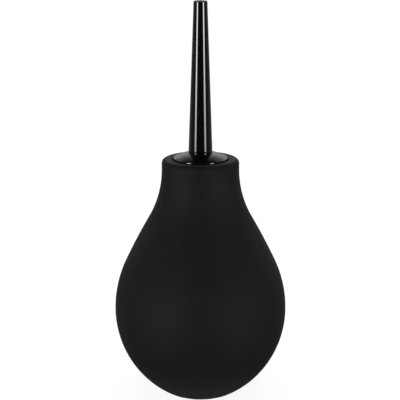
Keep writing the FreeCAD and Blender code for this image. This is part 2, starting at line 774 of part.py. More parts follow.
PIECES = [
    make_bulb(),
    make_collar(),
    make_nozzle(),
    make_seal_ring(),
    make_valve_body(),
    make_valve_disc(),
    make_valve_spring(),
    make_valve_cage(),
    make_intake_screen(),
    make_screen_ring(),
]
doc.recompute()

for item in doc.Objects:
    if "Invalid" in item.State or "Error" in item.State:
        raise RuntimeError("%s failed: %s" % (item.Name, item.State))
for piece in PIECES:
    shape = piece.Shape
    if shape.isNull() or not shape.isValid() or len(shape.Solids) != 1:
        raise RuntimeError("%s is not one valid solid" % piece.Label)

os.makedirs(OUT, exist_ok=True)
for piece in PIECES:
    piece.Shape.exportStep(os.path.join(OUT, piece.Label + ".step"))
    box = piece.Shape.BoundBox
    print("%-14s %9.2f mm3  z %7.2f to %7.2f" % (
        piece.Label, piece.Shape.Volume, box.ZMin, box.ZMax))
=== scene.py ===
import math

import bmesh
import bpy
from mathutils import Matrix, Vector


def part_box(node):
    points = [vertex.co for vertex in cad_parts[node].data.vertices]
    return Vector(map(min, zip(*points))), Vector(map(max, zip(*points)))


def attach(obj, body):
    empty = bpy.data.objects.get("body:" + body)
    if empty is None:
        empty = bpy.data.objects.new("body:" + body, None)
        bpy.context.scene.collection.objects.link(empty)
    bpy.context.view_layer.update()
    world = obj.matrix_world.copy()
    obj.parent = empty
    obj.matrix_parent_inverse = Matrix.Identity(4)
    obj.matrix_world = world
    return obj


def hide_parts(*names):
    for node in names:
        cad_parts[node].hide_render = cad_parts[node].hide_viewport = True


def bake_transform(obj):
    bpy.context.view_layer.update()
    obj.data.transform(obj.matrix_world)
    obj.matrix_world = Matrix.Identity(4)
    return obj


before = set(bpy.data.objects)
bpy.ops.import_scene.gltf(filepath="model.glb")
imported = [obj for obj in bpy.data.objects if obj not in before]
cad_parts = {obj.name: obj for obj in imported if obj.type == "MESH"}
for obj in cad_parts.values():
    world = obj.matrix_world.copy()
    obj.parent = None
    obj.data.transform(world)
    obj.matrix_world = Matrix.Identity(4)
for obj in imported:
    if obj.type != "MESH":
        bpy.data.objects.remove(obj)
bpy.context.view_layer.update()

bl_info = {
    "name": "Dust Blower Bulb",
    "version": (1, 0, 0),
    "blender": (4, 5, 0),
    "location": "3D View > Sidebar > Dust Blower",
    "description": "Rubber squeeze bulb with a domed collar, a long nozzle and an intake valve",
    "category": "Add Mesh",
}

MM = 0.001
ROUND_STEPS = 160          # facets round the axis of the large pieces
SMALL_ROUND_STEPS = 96     # facets round the axis of the small pieces
SHARP_ANGLE = math.radians(32)
DUST_COLOUR = (0.35, 0.34, 0.32, 1.0)
# pale colour mixed in as painted light: a painted reflection on the rim top and painted bounce light
# round the foot
PAINTED_LIGHT_COLOUR = (0.35, 0.34, 0.33, 1.0)

# what glossy faces mirror: axis, from, to, brightness at each; the first four are multiplied
MIRROR_RAMPS = (
    ("Y", -0.75, 0.95, 0.1, 0.85),    # dim in front, bright behind
    ("Z", 0.45, 0.8, 1.0, 0.08),      # dark ceiling
    ("Z", 0.08, 0.21, 0.35, 1.0),     # dimmer near the horizon
    ("Z", -0.54, -0.38, 0.0, 1.0),    # nothing of the room below the table's edge
)
TABLE_RAMP = ("Z", -0.54, -0.38, 0.1, 0.0)
SOFT_BOXES = ((-50.0, 7.8, 21.0), (49.0, 8.2, 18.5))    # azimuth and half width in degrees, strength

BULB_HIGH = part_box("bulb")[1]
NOZZLE_LOW, NOZZLE_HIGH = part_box("nozzle")
COLLAR_LOW, COLLAR_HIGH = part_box("collar")


def length(name, description, millimetres):
    """A size of the blower, shown in the scene's length unit."""
    return bpy.props.FloatProperty(
        name=name, description=description, default=millimetres * MM,
        min=0.0, unit="LENGTH", precision=5)


def colour(name, description, rgb):
    return bpy.props.FloatVectorProperty(
        name=name, description=description, default=rgb, size=3,
        min=0.0, max=1.0, subtype="COLOR")


def factor(name, description, value):
    return bpy.props.FloatProperty(
        name=name, description=description, default=value,
        min=0.0, max=1.0, subtype="FACTOR")


# ---------------------------------------------------------------- sizes and colours

class DUSTBLOWER_PG_bulb(bpy.types.PropertyGroup):
    """Sizes and finish of the rubber bulb"""
    foot_radius: length("Foot Radius", "Outer radius of the flat foot", 9.0)
    base_arc: length("Base Arc", "Radius of the curve from the foot into the belly", 15.5)
    belly_radius: length("Belly Radius", "Widest radius of the bulb", BULB_HIGH[0] / MM)
    low_arc: length("Low Belly Arc", "Radius of the curve below the widest ring", 43.0)
    high_arc: length("High Belly Arc", "Radius of the curve above the widest ring", 50.0)
    high_angle: bpy.props.FloatProperty(
        name="High Belly Angle", description="How far the upper belly curve turns",
        default=math.radians(25.0), subtype="ANGLE")
    shoulder_arc: length("Shoulder Arc", "Radius of the nearly straight shoulder", 260.0)
    neck_arc: length("Neck Arc", "Radius of the hollow curve into the neck", 44.0)
    neck_radius: length("Neck Radius", "Outer radius of the neck", 16.65)
    rim_height: length("Rim Height", "Height of the neck's top face", BULB_HIGH[2] / MM)
    rim_round: length("Rim Round", "Rounding of the neck's outer top edge", 1.8)
    blend_low: length("Blend Low", "Height under which the wall stays with the foot", 10.0)
    blend_high: length("Blend High", "Height over which the wall moves with the collar", 90.0)
    rim_recess: length("Rim Recess", "Radius of the recess that holds the flange", 12.3)
    rim_recess_depth: length("Rim Recess Depth", "Depth of that recess", 0.6)
    wall: length("Wall", "Thickness of the rubber wall", 3.0)
    neck_bore: length("Neck Bore", "Radius of the hole that takes the collar's plug", 10.4)
    neck_bore_end: length("Neck Bore End", "Height where the straight bore ends", 88.0)
    boss_radius: length("Boss Radius", "Radius of the thick boss round the valve", 8.6)
    boss_foot: length("Boss Foot", "Radius where the boss meets the wall", 11.6)
    boss_top: length("Boss Top", "Height of the boss inside the bulb", 6.0)
    recess_radius: length("Recess Radius", "Radius of the recess in the foot", 6.7)
    recess_depth: length("Recess Depth", "Depth of the recess in the foot", 1.6)
    base_bore: length("Base Bore", "Radius of the hole for the valve", 5.05)
    rubber: colour("Rubber", "Colour of the moulded rubber", (0.0044, 0.0043, 0.0044))
    bloom: colour("Bloom", "Colour of the faint pale bloom on the rubber", (0.0076, 0.0074, 0.0074))
    roughness: factor("Roughness", "Roughness of the rubber", 0.68)


class DUSTBLOWER_PG_collar(bpy.types.PropertyGroup):
    """Sizes and finish of the domed collar"""
    gap: length("Gap", "Gap between the recess and the flange", 0.1)
    flange_radius: length("Flange Radius", "Outer radius of the flange", 11.8)
    flange_edge: length("Flange Edge", "Height of the flange's upright edge", 1.15)
    flange_draft: length("Flange Draft", "How far the flange's edge leans in at its top", 0.06)
    flange_round: length("Flange Round", "Rounding of the flange's upper edge", 0.6)
    dome_top_radius: length("Dome Top Radius", "Radius of the flat land under the nozzle", 5.2)
    dome_top: length("Dome Top", "Height of the land under the nozzle", COLLAR_HIGH[2] / MM)
    plug_radius: length("Plug Radius", "Radius of the plug between its barbs", 9.6)
    plug_end: length("Plug End", "Height of the plug's lower end", COLLAR_LOW[2] / MM)
    plug_lead: length("Plug Lead", "Taper at the plug's lower end", 1.5)
    barb_radius: length("Barb Radius", "Outer radius of the barbs", 10.3)
    barb_length: length("Barb Length", "Length of one barb", 2.6)
    barb_pitch: length("Barb Pitch", "Distance from barb to barb", 3.6)
    barb_edge: length("Barb Edge", "Straight end of one barb", 0.4)
    first_barb: length("First Barb", "Height of the lowest barb", 93.5)
    pocket_radius: length("Seal Pocket Radius", "Radius of the pocket of the seal ring", 4.75)
    pocket_depth: length("Seal Pocket Depth", "Depth of the pocket of the seal ring", 1.2)
    socket_radius: length("Socket Radius", "Crest radius of the inner thread", 3.5)
    groove_radius: length("Groove Radius", "Root radius of the inner thread", 4.15)
    ridge_root: length("Ridge Root", "Half the inner thread's height at its root", 0.6)
    ridge_crest: length("Ridge Crest", "Half the inner thread's height at its crest", 0.28)
    ridge_bite: length("Ridge Bite", "How far the inner thread goes into its wall", 0.2)
    ridge_gap: length("Ridge Gap", "Gap between the inner thread and the seal pocket", 0.7)
    plastic: colour("Plastic", "Colour of the glossy plastic", (0.0019, 0.0019, 0.0020))
    roughness: factor("Roughness", "Roughness of the plastic", 0.055)


class DUSTBLOWER_PG_nozzle(bpy.types.PropertyGroup):
    """Sizes and finish of the tapered nozzle and its seal"""
    seat_gap: length("Seat Gap", "Gap under the nozzle's shoulder", 0.05)
    root_radius: length("Root Radius", "Radius of the tube at its shoulder", 5.15)
    tip_radius: length("Tip Radius", "Radius of the tube at its tip", 2.9)
    tip_top: length("Tip Top", "Height of the tip", NOZZLE_HIGH[2] / MM)
    tip_round: length("Tip Round", "Rounding of the tip's outer edge", 0.45)
    tip_bore: length("Tip Bore", "Radius of the air hole at the tip", 1.5)
    tip_bore_length: length("Tip Bore Length", "Length of the straight air hole", 14.0)
    shank_bore: length("Shank Bore", "Radius of the air hole at the shank's end", 2.0)
    shank_end: length("Shank End", "Height of the shank's lower end", NOZZLE_LOW[2] / MM)
    shank_lead: length("Shank Lead", "Chamfer at the shank's lower end", 0.5)
    thread_root: length("Thread Root", "Root radius of the shank's thread", 3.3)
    thread_crest: length("Thread Crest", "Crest radius of the shank's thread", 4.0)
    thread_start: length("Thread Start", "Height of the thread's lower end", 100.4)
    thread_length: length("Thread Length", "Rise of the whole thread", 5.6)
    thread_pitch: length("Thread Pitch", "Rise of one turn of the thread", 2.0)
    thread_foot: length("Thread Foot", "Half the thread's height at its root", 0.55)
    thread_top: length("Thread Top", "Half the thread's height at its crest", 0.2)
    thread_bite: length("Thread Bite", "How far the thread goes into the shank", 0.12)
    seal_radius: length("Seal Radius", "Middle radius of the seal ring", 3.92)
    seal_section: length("Seal Section", "Radius of the seal ring's section", 0.55)
    plastic: colour("Plastic", "Colour of the glossy plastic", (0.0019, 0.0019, 0.0020))
    roughness: factor("Roughness", "Roughness of the plastic", 0.055)


class DUSTBLOWER_PG_valve(bpy.types.PropertyGroup):
    """Sizes and finish of the intake valve in the foot"""
    flange_bottom: length("Flange Bottom", "Height of the flange's lower face", 0.4)
    flange_radius: length("Flange Radius", "Outer radius of the flange", 6.5)
    barrel_radius: length("Barrel Radius", "Outer radius of the barrel", 5.0)
    bead_radius: length("Bead Radius", "Radius of the bead that holds the barrel", 5.7)
    bead_top: length("Bead Top", "Height where the bead has run out", 7.4)
    barrel_top: length("Barrel Top", "Height of the barrel's upper end", 7.8)
    chamber_radius: length("Chamber Radius", "Radius of the chamber of the disc", 4.15)
    valve_floor: length("Valve Floor", "Height of the chamber's floor", 2.6)
    lip_radius: length("Lip Radius", "Outer radius of the seat lip", 2.75)
    seat_height: length("Seat Height", "Height of the seat lip", 3.0)
    intake_radius: length("Intake Radius", "Radius of the intake hole", 2.2)
    pocket_radius: length("Pocket Radius", "Radius of the screen's pocket", 4.2)
    pocket_top: length("Pocket Top", "Height of the pocket's upper face", 1.3)
    screen_thick: length("Screen Thickness", "Thickness of the perforated screen", 0.3)
    ring_thick: length("Ring Thickness", "Thickness of the screen's ring", 0.5)
    ring_inner: length("Ring Inner Radius", "Inner radius of the screen's ring", 3.2)
    plastic: colour("Plastic", "Colour of the valve's satin plastic", (0.016, 0.016, 0.017))
    silicone: colour("Silicone", "Colour of the valve's disc", (0.42, 0.41, 0.39))
    steel: colour("Steel", "Colour of the screen and spring", (0.56, 0.56, 0.57))


class DUSTBLOWER_PG_stage(bpy.types.PropertyGroup):
    """Floor, light and camera"""
    floor_size: bpy.props.FloatProperty(
        name="Floor Size", description="Width of the pale floor", default=8.0,
        min=0.5, unit="LENGTH")
    lens: bpy.props.FloatProperty(
        name="Lens", description="Focal length in millimetres", default=115.2, min=20.0)
    pitch: bpy.props.FloatProperty(
        name="Camera Pitch", description="How far the camera looks down",
        default=math.radians(14.63), subtype="ANGLE")
    distance: bpy.props.FloatProperty(
        name="Camera Distance", description="Distance from the camera to its target",
        default=0.55357, unit="LENGTH", precision=5)
    target_height: length("Target Height", "Height on the axis that the camera looks at", 87.68)
    pale: colour("Floor Colour", "Colour of the pale floor", (0.12, 0.12, 0.12))


# ---------------------------------------------------------------- shared shader groups

def new_group(name, inputs, outputs):
    """A shader node group with named sockets: (kind, name, default)."""
    group = bpy.data.node_groups.new(name, "ShaderNodeTree")
    for kind, socket, default in inputs:
        made = group.interface.new_socket(name=socket, in_out="INPUT", socket_type=kind)
        made.default_value = default
    for kind, socket in outputs:
        group.interface.new_socket(name=socket, in_out="OUTPUT", socket_type=kind)
    way_in = group.nodes.new("NodeGroupInput")
    way_out = group.nodes.new("NodeGroupOutput")
    way_in.location = (-900, 0)
    way_out.location = (600, 0)
    return group, way_in.outputs, way_out.inputs


def add_node(tree, kind, location=(0, 0), **settings):
    node = tree.nodes.new(kind)
    node.location = location
    for key, value in settings.items():
        setattr(node, key, value)
    return node


def link(tree, source, target):
    tree.links.new(source, target)


def add_noise(tree, coordinate, scale, detail=3.0, roughness=0.5, location=(0, 0)):
    noise = add_node(tree, "ShaderNodeTexNoise", location)
    link(tree, coordinate, noise.inputs["Vector"])
    noise.inputs["Detail"].default_value = detail
    noise.inputs["Roughness"].default_value = roughness
    if isinstance(scale, float):
        noise.inputs["Scale"].default_value = scale
    else:
        link(tree, scale, noise.inputs["Scale"])
    return noise.outputs["Fac"]


def add_range(tree, value, low, high, to_low=0.0, to_high=1.0, location=(0, 0)):
    """Map Range whose four limits are numbers or sockets."""
    node = add_node(tree, "ShaderNodeMapRange", location)
    link(tree, value, node.inputs["Value"])
    limits = (("From Min", low), ("From Max", high), ("To Min", to_low), ("To Max", to_high))
    for name, limit in limits:
        if isinstance(limit, (int, float)):
            node.inputs[name].default_value = limit
        else:
            link(tree, limit, node.inputs[name])
    return node.outputs["Result"]


def add_math(tree, operation, first, second=None, location=(0, 0)):
    node = add_node(tree, "ShaderNodeMath", location, operation=operation)
    for index, value in enumerate((first, second)):
        if value is None:
            continue
        if isinstance(value, (int, float)):
            node.inputs[index].default_value = value
        else:
            link(tree, value, node.inputs[index])
    return node.outputs[0]


def add_colour_mix(tree, share, first, second, location=(0, 0)):
    """Mix of two colours, each a socket or a tuple of numbers."""
    node = add_node(tree, "ShaderNodeMix", location, data_type="RGBA")
    link(tree, share, node.inputs["Factor"])
    for name, colour_in in (("A", first), ("B", second)):
        if isinstance(colour_in, tuple):
            node.inputs[name].default_value = colour_in
        else:
            link(tree, colour_in, node.inputs[name])
    return node.outputs["Result"]


def make_mottle_group():
    """Two colours mixed in soft cloudy patches with a finer fleck over them."""
    group, ins, outs = new_group(
        "Mottle",
        [("NodeSocketColor", "Base", (0.01, 0.01, 0.01, 1)),
         ("NodeSocketColor", "Tint", (0.02, 0.02, 0.02, 1)),
         ("NodeSocketFloat", "Patch Scale", 40.0),
         ("NodeSocketFloat", "Fleck Scale", 900.0),
         ("NodeSocketFloat", "Amount", 0.5)],
        [("NodeSocketColor", "Colour")])
    place = add_node(group, "ShaderNodeTexCoord", (-900, -300)).outputs["Object"]
    patch = add_noise(group, place, ins["Patch Scale"], 4.0, 0.6, (-650, 100))
    fleck = add_noise(group, place, ins["Fleck Scale"], 2.0, 0.5, (-650, -200))
    patches = add_range(group, patch, 0.38, 0.68, location=(-420, 100))
    flecks = add_range(group, fleck, 0.45, 0.75, 0.55, 1.0, location=(-420, -200))
    both = add_math(group, "MULTIPLY", patches, flecks, (-200, 0))
    mask = add_math(group, "MULTIPLY", both, ins["Amount"], (0, 0))
    link(group, add_colour_mix(group, mask, ins["Base"], ins["Tint"], (250, 100)), outs["Colour"])
    return group


def make_sheen_group():
    """Roughness that drifts between two values, with faint streaks left by handling."""
    group, ins, outs = new_group(
        "Handled Roughness",
        [("NodeSocketFloat", "Low", 0.3), ("NodeSocketFloat", "High", 0.5),
         ("NodeSocketFloat", "Scale", 60.0), ("NodeSocketFloat", "Stretch", 0.35)],
        [("NodeSocketFloat", "Roughness")])
    place = add_node(group, "ShaderNodeTexCoord", (-900, -300)).outputs["Object"]
    squeeze = add_node(group, "ShaderNodeCombineXYZ", (-800, -500))
    squeeze.inputs["X"].default_value = 1.0
    squeeze.inputs["Y"].default_value = 1.0
    link(group, ins["Stretch"], squeeze.inputs["Z"])
    drawn = add_node(group, "ShaderNodeVectorMath", (-650, -300), operation="MULTIPLY")
    link(group, place, drawn.inputs[0])
    link(group, squeeze.outputs[0], drawn.inputs[1])
    broad = add_noise(group, drawn.outputs[0], ins["Scale"], 5.0, 0.62, (-420, 0))
    result = add_range(group, broad, 0.32, 0.7, ins["Low"], ins["High"], (-100, 0))
    link(group, result, outs["Roughness"])
    return group


def make_grain_group():
    """Height of a fine moulded grain over a slow unevenness of the surface."""
    group, ins, outs = new_group(
        "Moulded Grain",
        [("NodeSocketFloat", "Grain Scale", 1800.0), ("NodeSocketFloat", "Grain", 0.5),
         ("NodeSocketFloat", "Wave Scale", 55.0), ("NodeSocketFloat", "Wave", 0.5)],
        [("NodeSocketFloat", "Height")])
    place = add_node(group, "ShaderNodeTexCoord", (-900, -300)).outputs["Object"]
    grain = add_noise(group, place, ins["Grain Scale"], 3.0, 0.55, (-600, 100))
    wave = add_noise(group, place, ins["Wave Scale"], 1.5, 0.4, (-600, -200))
    fine = add_math(group, "MULTIPLY", grain, ins["Grain"], (-300, 100))
    slow = add_math(group, "MULTIPLY", wave, ins["Wave"], (-300, -200))
    link(group, add_math(group, "ADD", fine, slow, (0, 0)), outs["Height"])
    return group


def make_parting_group():
    """Mask of the thin line that a two-part mould leaves where its halves meet."""
    group, ins, outs = new_group(
        "Parting Line",
        [("NodeSocketFloat", "Half Width", 0.00012)],
        [("NodeSocketFloat", "Mask")])
    place = add_node(group, "ShaderNodeTexCoord", (-900, 0)).outputs["Object"]
    parts = add_node(group, "ShaderNodeSeparateXYZ", (-700, 0))
    link(group, place, parts.inputs[0])
    away = add_math(group, "ABSOLUTE", parts.outputs["Y"], location=(-500, 0))
    mask = add_range(group, away, 0.0, ins["Half Width"], 1.0, 0.0, (-200, 0))
    link(group, mask, outs["Mask"])
    return group


def make_dust_group():
    """Mask of a few pale specks of dust, mostly on faces that look up."""
    group, ins, outs = new_group(
        "Settled Dust",
        [("NodeSocketFloat", "Speck Scale", 420.0), ("NodeSocketFloat", "Amount", 0.3)],
        [("NodeSocketFloat", "Mask")])
    place = add_node(group, "ShaderNodeTexCoord", (-900, 0)).outputs["Object"]
    cells = add_node(group, "ShaderNodeTexVoronoi", (-650, 100))
    link(group, place, cells.inputs["Vector"])
    link(group, ins["Speck Scale"], cells.inputs["Scale"])
    near = add_range(group, cells.outputs["Distance"], 0.05, 0.11, 1.0, 0.0, (-420, 100))
    parts = add_node(group, "ShaderNodeSeparateColor", (-420, 300))
    link(group, cells.outputs["Color"], parts.inputs[0])
    rare = add_range(group, parts.outputs[0], 0.9, 0.93, location=(-200, 300))
    facing = add_node(group, "ShaderNodeNewGeometry", (-900, -300)).outputs["Normal"]
    tilt = add_node(group, "ShaderNodeSeparateXYZ", (-650, -300))
    link(group, facing, tilt.inputs[0])
    upward = add_range(group, tilt.outputs["Z"], -0.1, 0.9, 0.15, 1.0, (-420, -300))
    speck = add_math(group, "MULTIPLY", near, rare, (0, 100))
    dust_and_painted_light = add_math(group, "MULTIPLY", speck, upward, (150, 0))
    link(group, add_math(group, "MULTIPLY", dust_and_painted_light, ins["Amount"], (300, 0)), outs["Mask"])
    return group


def make_painted_light_group():
    """Mask of painted light: a painted reflection on the rim's top, weaker at the front, and painted
    bounce light round the foot.
    """
    group, ins, outs = new_group(
        "Rim And Foot Painted Light",
        [("NodeSocketFloat", "Rim Height", 0.106), ("NodeSocketFloat", "Foot Height", 0.02),
         ("NodeSocketFloat", "Rim", 0.1), ("NodeSocketFloat", "Foot", 0.03)],
        [("NodeSocketFloat", "Mask")])
    place = add_node(group, "ShaderNodeTexCoord", (-700, 0)).outputs["Object"]
    parts = add_node(group, "ShaderNodeSeparateXYZ", (-500, 0))
    link(group, place, parts.inputs[0])
    edge = add_math(group, "SUBTRACT", ins["Rim Height"], 0.0001, (-500, 250))
    rim = add_range(group, parts.outputs["Z"], edge, ins["Rim Height"], location=(-300, 200))
    # painted bounce light from the floor, fading out upwards from the foot
    foot = add_range(group, parts.outputs["Z"], 0.0, ins["Foot Height"], 1.0, 0.0, (-300, -150))
    # the painted reflection on the rim's top is weaker at the front
    front_fade = add_range(group, parts.outputs["Y"], -0.013, -0.002, 0.15, 1.0, (-300, 450))
    top = add_math(group, "MULTIPLY", rim, front_fade, (-200, 300))
    top = add_math(group, "MULTIPLY", top, ins["Rim"], (-100, 200))
    bottom = add_math(group, "MULTIPLY", foot, ins["Foot"], (-100, -150))
    link(group, add_math(group, "ADD", top, bottom, (100, 0)), outs["Mask"])
    return group


GROUPS = {}


def shared_groups():
    if not GROUPS:
        GROUPS["mottle"] = make_mottle_group()
        GROUPS["sheen"] = make_sheen_group()
        GROUPS["grain"] = make_grain_group()
        GROUPS["parting"] = make_parting_group()
        GROUPS["dust"] = make_dust_group()
        GROUPS["painted_light"] = make_painted_light_group()
    return GROUPS


# ---------------------------------------------------------------- materials

def new_material(name):
    material = bpy.data.materials.new(name)
    material.use_nodes = True
    shader = material.node_tree.nodes["Principled BSDF"]
    shader.location = (300, 0)
    return material, material.node_tree, shader


def add_group(tree, key, location, **values):
    node = add_node(tree, "ShaderNodeGroup", location)
    node.node_tree = shared_groups()[key]
    for socket, value in values.items():
        node.inputs[socket.replace("_", " ")].default_value = value
    return node


def rgba(rgb):
    return (rgb[0], rgb[1], rgb[2], 1.0)


def finish_material(tree, shader, base, tint, amount, low, high, grain, bump, parting=0.0,
                    dust=0.0, painted_light=0.0, patch_scale=40.0, sheen_scale=60.0):
    """The layers of a finish: mottle, handling and grain, then dust, a parting line, and painted
    light (a painted reflection on the rim at the given rim height and painted bounce light round the
    foot). Those three are left out where they are 0."""
    mottle = add_group(tree, "mottle", (-700, 300), Base=rgba(base), Tint=rgba(tint),
                       Amount=amount, Patch_Scale=patch_scale)
    sheen = add_group(tree, "sheen", (-700, 0), Low=low, High=high, Scale=sheen_scale)
    relief = add_group(tree, "grain", (-700, -300), **grain)
    colour_out = mottle.outputs["Colour"]
    height = relief.outputs["Height"]
    if dust:
        specks = add_group(tree, "dust", (-700, 600), Amount=dust)
        colour_out = add_colour_mix(tree, specks.outputs["Mask"], colour_out, DUST_COLOUR)
    # painted light: a painted reflection on the rim top and painted bounce light round the foot
    if painted_light:
        dust_and_painted_light = add_group(tree, "painted_light", (-700, 900), Rim_Height=painted_light)
        colour_out = add_colour_mix(tree, dust_and_painted_light.outputs["Mask"], colour_out, PAINTED_LIGHT_COLOUR)
    if parting:
        line = add_group(tree, "parting", (-700, -600))
        raised = add_math(tree, "MULTIPLY", line.outputs["Mask"], parting, (-450, -600))
        height = add_math(tree, "ADD", height, raised, (-250, -400))
    link(tree, colour_out, shader.inputs["Base Color"])
    link(tree, sheen.outputs["Roughness"], shader.inputs["Roughness"])
    bump_node = add_node(tree, "ShaderNodeBump", (0, -300))
    bump_node.inputs["Strength"].default_value = 1.0
    bump_node.inputs["Distance"].default_value = bump
    link(tree, height, bump_node.inputs["Height"])
    link(tree, bump_node.outputs["Normal"], shader.inputs["Normal"])


def make_rubber(settings):
    material, tree, shader = new_material("bulb_rubber")
    shader.inputs["IOR"].default_value = 1.5
    shader.inputs["Specular IOR Level"].default_value = 0.2
    # the rubber carries painted light: a painted reflection on its rim top and painted bounce light
    # round its foot
    finish_material(
        tree, shader, settings.rubber, settings.bloom, 0.35,
        settings.roughness - 0.03, settings.roughness + 0.05,
        {"Grain_Scale": 1500.0, "Grain": 0.6, "Wave_Scale": 48.0, "Wave": 1.0},
        0.00005, parting=1.6, dust=0.10, painted_light=settings.rim_height, patch_scale=38.0,
        sheen_scale=45.0)
    return material


def make_gloss_plastic(name, settings, wave):
    material, tree, shader = new_material(name)
    shader.inputs["IOR"].default_value = 1.5
    plastic = tuple(settings.plastic)
    finish_material(
        tree, shader, plastic, tuple(1.8 * part for part in plastic), 0.4,
        settings.roughness - 0.015, settings.roughness + 0.03,
        {"Grain_Scale": 2600.0, "Grain": 0.08, "Wave_Scale": wave, "Wave": 1.0},
        0.000012, dust=0.05, patch_scale=70.0, sheen_scale=110.0)
    return material


def make_satin_plastic(settings):
    material, tree, shader = new_material("valve_plastic")
    finish_material(
        tree, shader, settings.plastic, (0.03, 0.03, 0.031), 0.4, 0.34, 0.48,
        {"Grain_Scale": 3200.0, "Grain": 0.7, "Wave_Scale": 120.0, "Wave": 0.4},
        0.00002, patch_scale=160.0, sheen_scale=240.0)
    return material


def make_seal_rubber():
    material, tree, shader = new_material("seal_rubber")
    finish_material(
        tree, shader, (0.012, 0.012, 0.012), (0.02, 0.02, 0.02), 0.5, 0.28, 0.4,
        {"Grain_Scale": 3600.0, "Grain": 0.5, "Wave_Scale": 300.0, "Wave": 0.3},
        0.00001, patch_scale=300.0, sheen_scale=500.0)
    return material


def make_silicone(settings):
    material, tree, shader = new_material("valve_silicone")
    shader.inputs["Subsurface Weight"].default_value = 0.25
    shader.inputs["Subsurface Radius"].default_value = (0.001, 0.0008, 0.0006)
    finish_material(
        tree, shader, settings.silicone, (0.36, 0.35, 0.33), 0.6, 0.35, 0.5,
        {"Grain_Scale": 2800.0, "Grain": 0.4, "Wave_Scale": 200.0, "Wave": 0.3},
        0.00001, patch_scale=220.0, sheen_scale=300.0)
    return material


def make_steel(name, settings, low, high):
    material, tree, shader = new_material(name)
    shader.inputs["Metallic"].default_value = 1.0
    steel = tuple(settings.steel)
    finish_material(
        tree, shader, steel, tuple(0.7 * part for part in steel), 0.5, low, high,
        {"Grain_Scale": 5200.0, "Grain": 0.6, "Wave_Scale": 500.0, "Wave": 0.2},
        0.000006, patch_scale=400.0, sheen_scale=900.0)
    return material


# ---------------------------------------------------------------- modelling helpers

def start_outline(bm, x, z):
    """First vertex of an outline in the XZ plane."""
    made = bmesh.ops.create_vert(bm, co=(x, 0.0, z))
    return made["vert"][0]


def line_to(bm, last, x, z, steps=1):
    """Draw the outline on to (x, z) in equal steps and return its new last vertex."""
    step = (Vector((x, 0.0, z)) - last.co) / steps
    for _ in range(steps):
        made = bmesh.ops.extrude_vert_indiv(bm, verts=[last])
        last = made["verts"][0]
        bmesh.ops.translate(bm, verts=[last], vec=step)
    return last


def arc_to(bm, last, x, z, angle, steps):
    """Swing the outline about (x, z). A positive angle turns +X towards +Z."""
    made = bmesh.ops.spin(
        bm, geom=[last], cent=(x, 0.0, z), axis=(0.0, -1.0, 0.0), dvec=(0.0, 0.0, 0.0),
        angle=angle, steps=steps, use_merge=False, use_normal_flip=False, use_duplicate=False)
    return next(item for item in made["geom_last"] if isinstance(item, bmesh.types.BMVert))


def close_outline(bm, last, first, steps=1):
    """Draw the outline back to its first vertex and join it."""
    line_to(bm, last, first.co.x, first.co.z, steps)
    bmesh.ops.remove_doubles(bm, verts=bm.verts[:], dist=1e-7)


def turn_outline(bm, steps):
    """Spin the outline right round the Z axis into a closed shape with outward faces."""
    bmesh.ops.spin(
        bm, geom=bm.verts[:] + bm.edges[:], cent=(0.0, 0.0, 0.0), axis=(0.0, 0.0, 1.0),
        dvec=(0.0, 0.0, 0.0), angle=2.0 * math.pi, steps=steps, use_merge=True,
        use_normal_flip=False, use_duplicate=False)
    bmesh.ops.remove_doubles(bm, verts=bm.verts[:], dist=1e-7)
    bmesh.ops.dissolve_degenerate(bm, edges=bm.edges[:], dist=1e-8)
    bmesh.ops.recalc_face_normals(bm, faces=bm.faces[:])


def soften_edges(bm, radius, where=None, segments=3):
    """Round the sharp edges, or those of them that a test picks."""
    edges = [edge for edge in bm.edges
             if edge.is_manifold and edge.calc_face_angle(0.0) > SHARP_ANGLE
             and (where is None or where(edge))]
    if edges:
        bmesh.ops.bevel(bm, geom=edges, offset=radius, offset_type="OFFSET", segments=segments,
                        profile=0.5, affect="EDGES", clamp_overlap=True, material=-1)


def edge_height(edge):
    return (edge.verts[0].co.z + edge.verts[1].co.z) / 2


def edge_radius(edge):
    return (edge.verts[0].co.xy.length + edge.verts[1].co.xy.length) / 2


def finish_piece(bm, name, material, body, node):
    """Shade and store a piece that takes the place of a node of the frame, hang it under its body's
    empty and hide the node.
    A piece given no body is left without a parent."""
    bmesh.ops.recalc_face_normals(bm, faces=bm.faces[:])
    for face in bm.faces:
        face.smooth = True
    for edge in bm.edges:
        edge.smooth = edge.calc_face_angle(0.0) < SHARP_ANGLE
    mesh = bpy.data.meshes.new(name)
    bm.to_mesh(mesh)
    bm.free()
    piece = bpy.data.objects.new(name, mesh)
    bpy.context.scene.collection.objects.link(piece)
    mesh.materials.append(material)
    if body:
        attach(piece, body)
    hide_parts(node)
    return piece


def wind_thread(bm, corners, pitch, rise, steps_per_turn):
    """A closed helical ridge: a quad of (x, z) corners wound up the Z axis."""
    verts = [bmesh.ops.create_vert(bm, co=(x, 0.0, z))["vert"][0] for x, z in corners]
    section = bmesh.ops.contextual_create(bm, geom=verts)["faces"]
    turns = rise / pitch
    steps = round(turns * steps_per_turn)
    bmesh.ops.spin(
        bm, geom=section, cent=(0.0, 0.0, 0.0), axis=(0.0, 0.0, 1.0),
        dvec=(0.0, 0.0, rise / steps), angle=2.0 * math.pi * turns, steps=steps,
        use_merge=False, use_normal_flip=False, use_duplicate=False)


def refinished_node(name, material):
    """Give a node of the frame whose shape is kept its own finish."""
    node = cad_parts[name]
    node.data.materials.clear()
    node.data.materials.append(material)


# ---------------------------------------------------------------- operators

